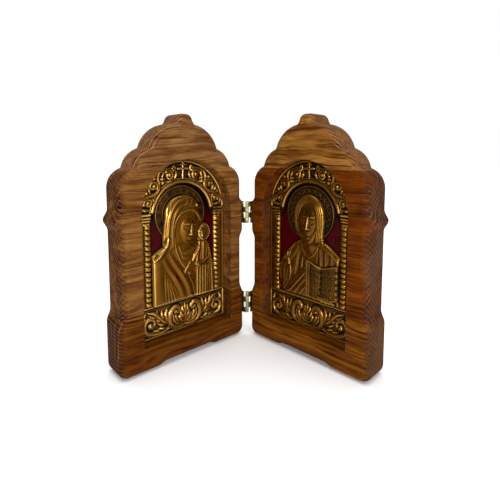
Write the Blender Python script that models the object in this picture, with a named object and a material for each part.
"""Folding diptych icon: two shaped oak leaves, each with a cast gilt plaque in an arched recess.

Metres, +Z up. The leaves stand open in a V, symmetric about the plane x = 0, and turn on two small
butt hinges that share one vertical pin axis at the back. The origin is at the bottom centre of the
part's box.

A leaf and all that is fixed to it are modelled in the leaf's own frame: the pin axis at the origin,
x along the leaf away from the pin, y from the leaf's front face to its back, z up.
"""

import math

import bmesh
import bpy
import numpy as np

# Leaf
LEAF_HEIGHT = 0.150
LEAF_THICKNESS = 0.0215
EDGE_ROUND = 0.0035
OPEN_ANGLE = math.radians(92.8)
PIN_Y = 0.02456
PIN_TO_EDGE = 0.0019
FRONT_Y = 0.0003

# Half of the leaf's outline, as distances from the leaf's centre line and heights
CAP_HALF = 0.0020
CAP_CORNER = (0.0052, 0.1468)
NOTCHES = ((0.0070, 0.1440), (0.0237, 0.1295), (0.0342, 0.1182))
LOBE_BOWS = (0.30, 0.28, 0.35)
SIDE_HALF = 0.0429
SIDE_TOP = 0.1062
BUMP_HALF = 0.0455
BUMP_TOP, BUMP_NOSE, BUMP_FOOT = 0.0950, 0.0892, 0.0828
BASE_HALF = 0.0452
BASE_TOP, WAIST_FOOT = 0.0302, 0.0376
LAND_TOP, LAND_FOOT = 0.0937, 0.0745
LAND_SLOPE = 0.0064
CORNER_ROUND = 0.0056
FOOT_INNER = 0.0215
FOOT_STEP = 0.0062
FOOT_LIFT = 0.0016

# Arched recess and the plaque in it
RECESS_OFFSET = -0.0012
RECESS_HALF = 0.0317
RECESS_FLOOR_Z = 0.0148
RECESS_SPRING_Z = 0.0910
RECESS_DEPTH = 0.0100
CLEARANCE = 0.0003
PLAQUE_BASE = 0.0012
PLAQUE_HALF = RECESS_HALF - CLEARANCE
PLAQUE_SPRING = RECESS_SPRING_Z - RECESS_FLOOR_Z - CLEARANCE

# Relief on the plaque, with x from its centre and z from its foot
PANEL_TOP = 0.0200
PANEL_LEAF = 0.0126
RIM_WIDTH = 0.0012
COLUMN_X = 0.0252
COLUMN_HALF = 0.0024
CAPITAL_HEIGHT = 0.0055
OPENING_HALF = 0.0204
OPENING_RISE = 0.0172
BEAD_HALF = 0.0016
BAND_SCROLLS = 14
HALO_Z = 0.0740
HALO_RADIUS = 0.0177
PAGE_WIDTH = 0.0118
EDGE_BLEND = 0.0009
HALO_RELIEF = 0.0007
BAND_RELIEF = 0.0011
FRAME_RELIEF = 0.0018
FIGURE_RELIEF = 0.0030

# Hinges
HINGE_CENTRES = {"lower": 0.0224, "upper": 0.0861}
HINGE_HEIGHT = 0.0152
KNUCKLES = 4
KNUCKLE_GAP = 0.0002
BARREL_RADIUS = 0.00115
PIN_RADIUS = 0.00055
PIN_CLEARANCE = 0.00008
PLATE_THICKNESS = 0.0006
PLATE_FRONT, PLATE_BACK = 0.0017, 0.0105
SCREW_Y = 0.0065
SCREW_SPREAD = 0.0044
SCREW_HEAD_RADIUS = 0.0014
SCREW_HEAD = 0.0004
SCREW_SLOT = 0.0003
SCREW_SHANK_RADIUS = 0.0006
SCREW_LENGTH = 0.0070
HOLE_RADIUS = 0.0010

LEAF_CENTRE = PIN_TO_EDGE + BASE_HALF
LEAF_ANGLE = (math.pi - OPEN_ANGLE) / 2
SIDES = {"left": -1, "right": 1}
SMOOTH_UP_TO = math.radians(40)


# ---------------------------------------------------------------- outlines


def arc(path, end, bow, steps):
    """Carries the path to end on a circle that bows to the left by bow times half the chord."""
    start = np.array(path[-1])
    chord = np.array(end) - start
    half_sweep = 2 * math.atan(bow)
    radius = np.linalg.norm(chord) / 2 / math.sin(half_sweep)
    to_centre = np.array([chord[1], -chord[0]]) / np.linalg.norm(chord)
    centre = start + chord / 2 + to_centre * radius * math.cos(half_sweep)
    spoke = start - centre
    for step in range(1, steps + 1):
        turn = -2 * half_sweep * step / steps
        x = math.cos(turn) * spoke[0] - math.sin(turn) * spoke[1]
        z = math.sin(turn) * spoke[0] + math.cos(turn) * spoke[1]
        path.append((centre[0] + x, centre[1] + z))


def ogee(path, end, steps, upright=True):
    """Carries the path to end on half a cosine wave that leaves and arrives along the run."""
    start = path[-1]
    for step in range(1, steps + 1):
        run = step / steps
        swell = (1 - math.cos(math.pi * run)) / 2
        across, along = (swell, run) if upright else (run, swell)
        x = start[0] + (end[0] - start[0]) * across
        z = start[1] + (end[1] - start[1]) * along
        path.append((x, z))


def crown(path):
    """The stepped top: a flat cap, then three lobes down to the straight side."""
    path.append((CAP_HALF, LEAF_HEIGHT))
    arc(path, CAP_CORNER, 0.28, 3)
    arc(path, NOTCHES[0], -0.12, 1)
    ends = (NOTCHES[1], NOTCHES[2], (SIDE_HALF, SIDE_TOP))
    for end, bow, steps in zip(ends, LOBE_BOWS, (5, 4, 4)):
        arc(path, end, bow, steps)


def outer_side(path):
    """The free side: a small rounded nose, the waist, and an ogee out to the base."""
    path.append((SIDE_HALF, BUMP_TOP))
    ogee(path, (BUMP_HALF, BUMP_NOSE), 4)
    ogee(path, (SIDE_HALF, BUMP_FOOT), 4)
    path.append((SIDE_HALF, WAIST_FOOT))
    ogee(path, (BASE_HALF, BASE_TOP), 4)


def hinge_side(path):
    """The hinged side: two flush lands for the hinge plates, with the waist between them."""
    path.append((SIDE_HALF, LAND_TOP + LAND_SLOPE / 2))
    ogee(path, (BASE_HALF, LAND_TOP), 3)
    path.append((BASE_HALF, LAND_FOOT))
    ogee(path, (SIDE_HALF, LAND_FOOT - LAND_SLOPE), 4)
    path.append((SIDE_HALF, WAIST_FOOT))
    ogee(path, (BASE_HALF, BASE_TOP), 4)


def underside(path):
    """The rounded corner, the foot and the raised middle."""
    path.append((BASE_HALF, CORNER_ROUND))
    arc(path, (BASE_HALF - CORNER_ROUND, 0.0), math.tan(math.pi / 8), 4)
    path.append((FOOT_INNER, 0.0))
    ogee(path, (FOOT_INNER - FOOT_STEP, FOOT_LIFT), 3, upright=False)


def leaf_outline():
    """The closed outline in the leaf's frame, clockwise from the middle of the cap."""
    halves = []
    for flank in (outer_side, hinge_side):
        path = [(0.0, LEAF_HEIGHT)]
        crown(path)
        flank(path)
        underside(path)
        halves.append(np.array(path))
    outer, hinge = halves
    mirrored = hinge[:0:-1] * [-1, 1]
    return np.vstack([outer, mirrored]) + [LEAF_CENTRE, 0.0]


def arch_outline(half, bottom, spring, steps=24):
    """A round arch on straight sides, anticlockwise from its lower left corner."""
    turns = np.linspace(0, math.pi, steps + 1)
    head = np.stack([half * np.cos(turns), spring + half * np.sin(turns)], axis=1)
    feet = np.array([(-half, bottom), (half, bottom)])
    return np.vstack([feet, head])


def inset(outline, depth):
    """Moves each point inwards along its normal by depth, or less where the outline is too narrow.

    Returns the moved points and how far each one went, which is its distance from the outline.
    """
    start = outline
    run = np.roll(outline, -1, axis=0) - start
    ahead = run / np.linalg.norm(run, axis=1, keepdims=True)
    tangent = ahead + np.roll(ahead, 1, axis=0)
    normal = np.stack([tangent[:, 1], -tangent[:, 0]], axis=1)
    normal /= np.linalg.norm(normal, axis=1, keepdims=True)
    # A corner moved by 1 comes within this distance of its own two facets
    facet_share = np.abs(ahead[:, 1] * normal[:, 0] - ahead[:, 0] * normal[:, 1])
    low = np.zeros(len(outline))
    high = np.full(len(outline), depth)
    reach = high.copy()
    for _ in range(14):
        point = outline + normal * reach[:, None]
        away = point[:, None] - start[None]
        share = np.clip((away * run).sum(-1) / (run * run).sum(-1), 0, 1)
        nearest = np.linalg.norm(away - share[..., None] * run, axis=-1).min(axis=1)
        fits = nearest >= reach * facet_share * 0.995
        low = np.where(fits, reach, low)
        high = np.where(fits, high, reach)
        reach = (low + high) / 2
    reach = np.where(low > depth * 0.99, depth, low)
    return outline + normal * reach[:, None], reach


# ---------------------------------------------------------------- meshes


def finish_mesh(name, form):
    """Welds, orients and stores a bmesh."""
    bmesh.ops.remove_doubles(form, verts=form.verts, dist=1e-6)
    bmesh.ops.recalc_face_normals(form, faces=form.faces)
    mesh = bpy.data.meshes.new(name)
    form.to_mesh(mesh)
    form.free()
    mesh.shade_smooth()
    mesh.set_sharp_from_angle(angle=SMOOTH_UP_TO)
    return mesh


def loft(name, rings, side):
    """A closed solid through a row of rings with equal counts, capped at both ends."""
    form = bmesh.new()
    rows = []
    for ring in rings:
        rows.append([form.verts.new((side * x, y, z)) for x, y, z in ring])
    for near, far in zip(rows, rows[1:]):
        for here in range(len(near)):
            after = (here + 1) % len(near)
            form.faces.new((near[here], near[after], far[after], far[here]))
    form.faces.new(rows[0])
    form.faces.new(rows[-1][::-1])
    return finish_mesh(name, form)


def prism(name, outline, front, back):
    """An outline in x and z, made solid from y = front to y = back with a filled 2D curve."""
    curve = bpy.data.curves.new(name, "CURVE")
    curve.dimensions = "2D"
    curve.fill_mode = "BOTH"
    curve.extrude = (back - front) / 2
    spline = curve.splines.new("POLY")
    spline.points.add(len(outline) - 1)
    for point, (x, z) in zip(spline.points, outline):
        point.co = (x, z, 0.0, 1.0)
    spline.use_cyclic_u = True
    guide = bpy.data.objects.new(name + "_curve", curve)
    guide.location = (0.0, (front + back) / 2, 0.0)
    guide.rotation_euler = (math.pi / 2, 0.0, 0.0)
    bpy.context.scene.collection.objects.link(guide)
    graph = bpy.context.evaluated_depsgraph_get()
    mesh = bpy.data.meshes.new_from_object(guide.evaluated_get(graph))
    form = bmesh.new()
    form.from_mesh(mesh)
    bmesh.ops.transform(form, matrix=guide.matrix_world, verts=form.verts)
    bpy.data.objects.remove(guide)
    bpy.data.meshes.remove(mesh)
    return finish_mesh(name, form)


def rod(name, radius, low, high, x=0.0, y=0.0, sides=12):
    """A vertical cylinder from low to high."""
    form = bmesh.new()
    bmesh.ops.create_cone(
        form, cap_ends=True, segments=sides, radius1=radius, radius2=radius, depth=high - low
    )
    bmesh.ops.translate(form, vec=(x, y, (low + high) / 2), verts=form.verts)
    return finish_mesh(name, form)


def cross_rod(name, radius, near, far, y, z, side, sides=12):
    """A cylinder along the leaf's x axis from near to far."""
    form = bmesh.new()
    bmesh.ops.create_cone(
        form, cap_ends=True, segments=sides, radius1=radius, radius2=radius, depth=far - near
    )
    for vert in form.verts:
        along = vert.co.z + (near + far) / 2
        vert.co = (side * along, y + vert.co.x, z + vert.co.y)
    return finish_mesh(name, form)


def block(name, low, high, side):
    """A box between two corners of the leaf's frame."""
    form = bmesh.new()
    bmesh.ops.create_cube(form, size=1.0)
    low, high = np.array(low), np.array(high)
    for vert in form.verts:
        x, y, z = (low + high) / 2 + np.array(vert.co) * (high - low)
        vert.co = (side * x, y, z)
    return finish_mesh(name, form)


# ---------------------------------------------------------------- scene


def clear_scene():
    for obj in list(bpy.data.objects):
        bpy.data.objects.remove(obj, do_unlink=True)


def collection(name):
    made = bpy.data.collections.new(name)
    bpy.context.scene.collection.children.link(made)
    return made


def material(name, colour, metallic, roughness):
    made = bpy.data.materials.new(name)
    made.use_nodes = True
    shader = made.node_tree.nodes["Principled BSDF"]
    shader.inputs["Base Color"].default_value = (*colour, 1.0)
    shader.inputs["Metallic"].default_value = metallic
    shader.inputs["Roughness"].default_value = roughness
    return made


def place(name, mesh, group, parent, finish=None):
    """An object for the mesh, on its parent's axis, with its own copy of the finish."""
    obj = bpy.data.objects.new(name, mesh)
    group.objects.link(obj)
    obj.parent = parent
    if finish:
        own = finish.copy()
        own.name = name + "_finish"
        mesh.materials.append(own)
    return obj


def cutter(name, mesh, group, parent):
    obj = place(name, mesh, group, parent)
    obj.hide_render = True
    obj.display_type = "WIRE"
    return obj


def boolean(obj, other, operation):
    made = obj.modifiers.new(operation.lower() + "_" + other.name, "BOOLEAN")
    made.operation = operation
    made.object = other
    made.solver = "EXACT"


def leaf_axis(name, side):
    """An empty on the pin axis, turned so that the leaf's frame lies under it."""
    axis = bpy.data.objects.new(name + "_leaf_axis", None)
    axis.location = (0.0, PIN_Y, 0.0)
    axis.rotation_euler = (0.0, 0.0, -side * LEAF_ANGLE)
    axis.empty_display_size = 0.02
    bpy.context.scene.collection.objects.link(axis)
    return axis


# ---------------------------------------------------------------- oak leaves


def leaf_mesh(name, side):
    """The board: its outline lofted from front to back, with both arrises rounded over."""
    outline = leaf_outline()
    back_y = FRONT_Y + LEAF_THICKNESS
    rings = []
    for turn in np.radians([90, 45, 0]):
        points, reach = inset(outline, EDGE_ROUND * (1 - math.sin(turn)) + 1e-9)
        drop = EDGE_ROUND - np.sqrt(EDGE_ROUND**2 - (EDGE_ROUND - reach) ** 2)
        rings.append((points, drop))
    rings.sort(key=lambda ring: ring[1].mean())
    front = [np.column_stack([p[:, 0], FRONT_Y + drop, p[:, 1]]) for p, drop in rings]
    back = [np.column_stack([p[:, 0], back_y - drop, p[:, 1]]) for p, drop in rings[::-1]]
    return loft(name, front + back, side)


def leaf_screw_holes(name, side, holes):
    """Pilot holes in the hinged edge, joined into one cutter by their own names."""
    form = bmesh.new()
    for y, z in holes:
        hole = cross_rod(name, SCREW_SHANK_RADIUS + CLEARANCE, PIN_TO_EDGE - 0.002,
                         PIN_TO_EDGE + SCREW_LENGTH, y, z, side, sides=8)
        form.from_mesh(hole)
        bpy.data.meshes.remove(hole)
    return finish_mesh(name, form)


def make_leaf(name, side, axis, group, tools, finish):
    leaf = place(name + "_leaf", leaf_mesh(name + "_leaf", side), group, axis, finish)
    arch = arch_outline(RECESS_HALF, RECESS_FLOOR_Z, RECESS_SPRING_Z)
    arch[:, 0] += side * (LEAF_CENTRE + RECESS_OFFSET)
    recess = prism(name + "_recess", arch, FRONT_Y - 0.002, FRONT_Y + RECESS_DEPTH)
    boolean(leaf, cutter(name + "_recess", recess, tools, axis), "DIFFERENCE")
    holes = leaf_screw_holes(name + "_pilot_holes", side, screw_places())
    boolean(leaf, cutter(name + "_pilot_holes", holes, tools, axis), "DIFFERENCE")


# ---------------------------------------------------------------- plaques


def above(edge, value):
    """Rises smoothly from 0 to 1 as value passes edge."""
    share = np.clip((value - edge) / EDGE_BLEND + 0.5, 0, 1)
    return share * share * (3 - 2 * share)


def mound(x, z, centre, radii, tilt=0.0):
    """An elliptical swelling, 1 at its middle and 0 outside."""
    dx, dz = x - centre[0], z - centre[1]
    across = dx * math.cos(tilt) + dz * math.sin(tilt)
    along = dz * math.cos(tilt) - dx * math.sin(tilt)
    return np.clip(1 - (across / radii[0]) ** 2 - (along / radii[1]) ** 2, 0, None)


def frame_relief(x, z):
    """Height of the surround: rim, scrolled arch band, bead, columns, capitals and lower panel."""
    rise = np.maximum(z - PLAQUE_SPRING, 0)
    in_arch = above(PLAQUE_SPRING, z)
    ring = np.hypot(x / OPENING_HALF, rise / OPENING_RISE) * OPENING_HALF
    scroll = 1 + 0.5 * np.cos(np.arctan2(x, rise + 1e-9) * BAND_SCROLLS)
    band = BAND_RELIEF * in_arch * above(OPENING_HALF, ring) * scroll
    bead = in_arch * mound(ring, 0, (OPENING_HALF + BEAD_HALF, 0), (BEAD_HALF, 1))
    column = (1 - in_arch) * mound(np.abs(x), 0, (COLUMN_X, 0), (COLUMN_HALF, 1))
    capital_foot = PLAQUE_SPRING - CAPITAL_HEIGHT
    capital = (1 - in_arch) * above(OPENING_HALF, np.abs(x)) * above(capital_foot, z)
    inward = np.minimum(PLAQUE_HALF - np.hypot(x, rise), z)
    rim = above(-RIM_WIDTH, -inward)
    leaves = 1 + 0.3 * np.cos(x * 2 * math.pi / PANEL_LEAF)
    panel = BAND_RELIEF * above(-PANEL_TOP, -z) * leaves
    raised = FRAME_RELIEF * np.maximum.reduce([bead, column, capital, rim])
    return np.maximum.reduce([band, panel, raised])


def halo(x, z, centre_x):
    return HALO_RELIEF * above(-HALO_RADIUS, -np.hypot(x - centre_x, z - HALO_Z))


def veil_and_child_relief(x, z):
    """The mother's veiled head and shoulders, turned to her child."""
    head = mound(x, z, (-0.0010, 0.0705), (0.0125, 0.0175), tilt=-0.25)
    shoulders = mound(x, z, (-0.0075, 0.0200), (0.0185, 0.0400)) ** 0.6
    veil_edge = 1 - 0.5 * mound(x, z, (0.0000, 0.0380), (0.0035, 0.0240), tilt=-0.5)
    child = mound(x, z, (0.0125, 0.0330), (0.0085, 0.0260)) ** 0.7
    child_head = mound(x, z, (0.0128, 0.0600), (0.0058, 0.0065))
    figure = np.maximum.reduce([head, 0.85 * shoulders * veil_edge, child, child_head])
    return np.maximum(halo(x, z, -0.0022), FIGURE_RELIEF * figure * above(PANEL_TOP, z))


def teacher_relief(x, z):
    """The frontal bearded figure with his robe and open book."""
    hair = 0.7 * mound(x, z, (0.0008, 0.0735), (0.0125, 0.0150)) ** 0.6
    face = mound(x, z, (0.0002, 0.0690), (0.0080, 0.0150))
    shoulders = 0.75 * mound(x, z, (0.0000, 0.0200), (0.0225, 0.0420)) ** 0.6
    sash = 0.4 * mound(x, z, (-0.0080, 0.0300), (0.0045, 0.0200), tilt=0.8)
    cover = above(0.0010, x) * above(-0.0245, -x) * above(0.0235, z) * above(-0.0460, -z)
    pages = 0.85 + 0.15 * np.cos((x - 0.0128) * 2 * math.pi / PAGE_WIDTH)
    robe = np.where(shoulders > 0, shoulders + sash, 0) * (1 - cover)
    figure = np.maximum.reduce([hair, face, robe, cover * pages])
    return np.maximum(halo(x, z, 0.0008), FIGURE_RELIEF * figure * above(PANEL_TOP, z))


PLAQUE_RELIEFS = {"left": veil_and_child_relief, "right": teacher_relief}


def plaque_grid():
    """Rows of points that cover the plaque: straight rows below the spring line, and spokes above
    it whose rings pass from the round edge to the flatter curve of the opening."""
    band = np.array([1.0, 0.97, 0.945, 0.879, 0.84, 0.803, 0.765, 0.727, 0.69]) * PLAQUE_HALF
    inner = np.array([1.0, 0.92, 0.82, 0.70, 0.57, 0.43, 0.29, 0.145]) * OPENING_HALF
    radii = np.concatenate([band, inner])
    flatness = OPENING_RISE / OPENING_HALF
    share = np.clip((PLAQUE_HALF - radii) / (PLAQUE_HALF - OPENING_HALF), 0, 1)
    heights = radii * (1 - share + share * flatness)
    capital_foot = PLAQUE_SPRING - CAPITAL_HEIGHT
    sill = [0, 0.0008, 0.0017, 0.0100, PANEL_TOP - 0.0006]
    shaft = np.linspace(PANEL_TOP + 0.001, capital_foot - 0.001, 16)
    head = [capital_foot, PLAQUE_SPRING - 0.0006, PLAQUE_SPRING]
    across = np.concatenate([-radii, [0.0], radii[::-1]])
    x, z = np.meshgrid(across, np.concatenate([sill, shaft, head]))
    turns = np.linspace(0, math.pi, 25)
    arch_x = np.outer(np.cos(turns), radii)
    arch_z = PLAQUE_SPRING + np.outer(np.sin(turns), heights)
    return x, z, arch_x, arch_z


def plaque_mesh(name, side):
    """The plate: its front is a height over a grid, and its back is flat."""
    back_y = FRONT_Y + RECESS_DEPTH - CLEARANCE
    relief = PLAQUE_RELIEFS[name]
    form = bmesh.new()

    def front_point(x, z):
        height = PLAQUE_BASE + np.maximum(frame_relief(x, z), relief(x, z))
        outward = side * (LEAF_CENTRE + RECESS_OFFSET)
        y = back_y - float(height)
        return form.verts.new((outward + x, y, z + RECESS_FLOOR_Z + CLEARANCE))

    def cells(rows):
        """Two triangles to a cell, split along the diagonal whose ends are nearer in height."""
        for low, high in zip(rows, rows[1:]):
            for a, b, c, d in zip(low, low[1:], high[1:], high):
                rising = abs(a.co.y - c.co.y) < abs(b.co.y - d.co.y)
                pair = ((a, b, c), (a, c, d)) if rising else ((a, b, d), (b, c, d))
                for corners in pair:
                    form.faces.new(corners)

    x, z, arch_x, arch_z = plaque_grid()
    lower = [[front_point(a, b) for a, b in zip(*row)] for row in zip(x, z)]
    upper = [[front_point(a, b) for a, b in zip(*row)] for row in zip(arch_x, arch_z)]
    cells(lower)
    cells(upper)
    hub = front_point(0.0, PLAQUE_SPRING)
    for near, far in zip(upper, upper[1:]):
        form.faces.new((near[-1], far[-1], hub))
    bmesh.ops.remove_doubles(form, verts=form.verts, dist=1e-6)
    rim = [edge for edge in form.edges if edge.is_boundary]
    wall = bmesh.ops.extrude_edge_only(form, edges=rim)["geom"]
    base = [item for item in wall if isinstance(item, bmesh.types.BMVert)]
    for vert in base:
        vert.co.y = back_y
    edges = [edge for edge in form.edges if edge.is_boundary]
    bmesh.ops.contextual_create(form, geom=edges)
    return finish_mesh(name + "_plaque", form)


def make_plaque(name, side, axis, group, finish):
    place(name + "_plaque", plaque_mesh(name, side), group, axis, finish)


# ---------------------------------------------------------------- hinges


def screw_places():
    """The (y, z) of every screw in one leaf's hinged edge."""
    return [
        (SCREW_Y, centre + way * SCREW_SPREAD)
        for centre in HINGE_CENTRES.values()
        for way in (-1, 1)
    ]


def hinge_plate(label, name, side, axis, group, tools, finish):
    """A plate with two of the hinge's four knuckles, bored for the pin and holed for its screws."""
    centre = HINGE_CENTRES[label]
    low, high = centre - HINGE_HEIGHT / 2, centre + HINGE_HEIGHT / 2
    outer = PIN_TO_EDGE - CLEARANCE
    inner = outer - PLATE_THICKNESS
    title = f"{label}_hinge_{name}_plate"
    body = block(title, (inner, PLATE_FRONT, low), (outer, PLATE_BACK, high), side)
    plate = place(title, body, group, axis, finish)
    tall = HINGE_HEIGHT / KNUCKLES
    first = KNUCKLES - 1 if side > 0 else KNUCKLES - 2
    for count in (first, first - 2):
        foot = low + count * tall + KNUCKLE_GAP / 2
        head = foot + tall - KNUCKLE_GAP
        tag = f"{title}_knuckle_{count}"
        barrel = rod(tag, BARREL_RADIUS, foot, head)
        boolean(plate, cutter(tag, barrel, tools, axis), "UNION")
        web = block(tag + "_web", (inner, 0.0, foot), (outer, PLATE_FRONT + 0.001, head), side)
        boolean(plate, cutter(tag + "_web", web, tools, axis), "UNION")
    bore = rod(title + "_bore", PIN_RADIUS + PIN_CLEARANCE, low - 0.001, high + 0.001)
    boolean(plate, cutter(title + "_bore", bore, tools, axis), "DIFFERENCE")
    for way in (-1, 1):
        tag = f"{title}_hole_{way + 1}"
        height = centre + way * SCREW_SPREAD
        hole = cross_rod(tag, HOLE_RADIUS, inner - 0.001, outer + 0.001, SCREW_Y, height, side)
        boolean(plate, cutter(tag, hole, tools, axis), "DIFFERENCE")


def hinge_screw(label, way, name, side, axis, group, tools, finish):
    """A flat-headed screw along the leaf's x axis, its slotted head on the plate."""
    tag = f"{label}_hinge_{name}_screw_{'top' if way > 0 else 'bottom'}"
    height = HINGE_CENTRES[label] + way * SCREW_SPREAD
    seat = PIN_TO_EDGE - 2 * CLEARANCE - PLATE_THICKNESS
    head = cross_rod(tag, SCREW_HEAD_RADIUS, seat - SCREW_HEAD, seat, SCREW_Y, height, side)
    screw = place(tag, head, group, axis, finish)
    tip = seat + SCREW_LENGTH
    shank = cross_rod(tag + "_shank", SCREW_SHANK_RADIUS, seat - 0.0001, tip, SCREW_Y, height, side)
    boolean(screw, cutter(tag + "_shank", shank, tools, axis), "UNION")
    low = (seat - 2 * SCREW_HEAD, SCREW_Y - 2 * SCREW_HEAD_RADIUS, height - SCREW_SLOT / 2)
    high = (seat - SCREW_HEAD / 2, SCREW_Y + 2 * SCREW_HEAD_RADIUS, height + SCREW_SLOT / 2)
    slot = block(tag + "_slot", low, high, side)
    boolean(screw, cutter(tag + "_slot", slot, tools, axis), "DIFFERENCE")


def hinge_pin(label, axis, group, finish):
    centre = HINGE_CENTRES[label]
    half = HINGE_HEIGHT / 2
    tag = label + "_hinge_pin"
    place(tag, rod(tag, PIN_RADIUS, centre - half, centre + half), group, axis, finish)


def main():
    clear_scene()
    group = collection("diptych_icon")
    tools = collection("cutters")
    oak = material("oak", (0.30, 0.14, 0.055), 0.0, 0.55)
    gilt = material("gilt", (0.62, 0.38, 0.10), 1.0, 0.32)
    brass = material("brass", (0.72, 0.60, 0.36), 1.0, 0.28)
    axes = {name: leaf_axis(name, side) for name, side in SIDES.items()}
    for name, side in SIDES.items():
        axis = axes[name]
        make_leaf(name, side, axis, group, tools, oak)
        make_plaque(name, side, axis, group, gilt)
        for label in HINGE_CENTRES:
            hinge_plate(label, name, side, axis, group, tools, brass)
            for way in (-1, 1):
                hinge_screw(label, way, name, side, axis, group, tools, brass)
    for label in HINGE_CENTRES:
        hinge_pin(label, axes["left"], group, brass)


main()
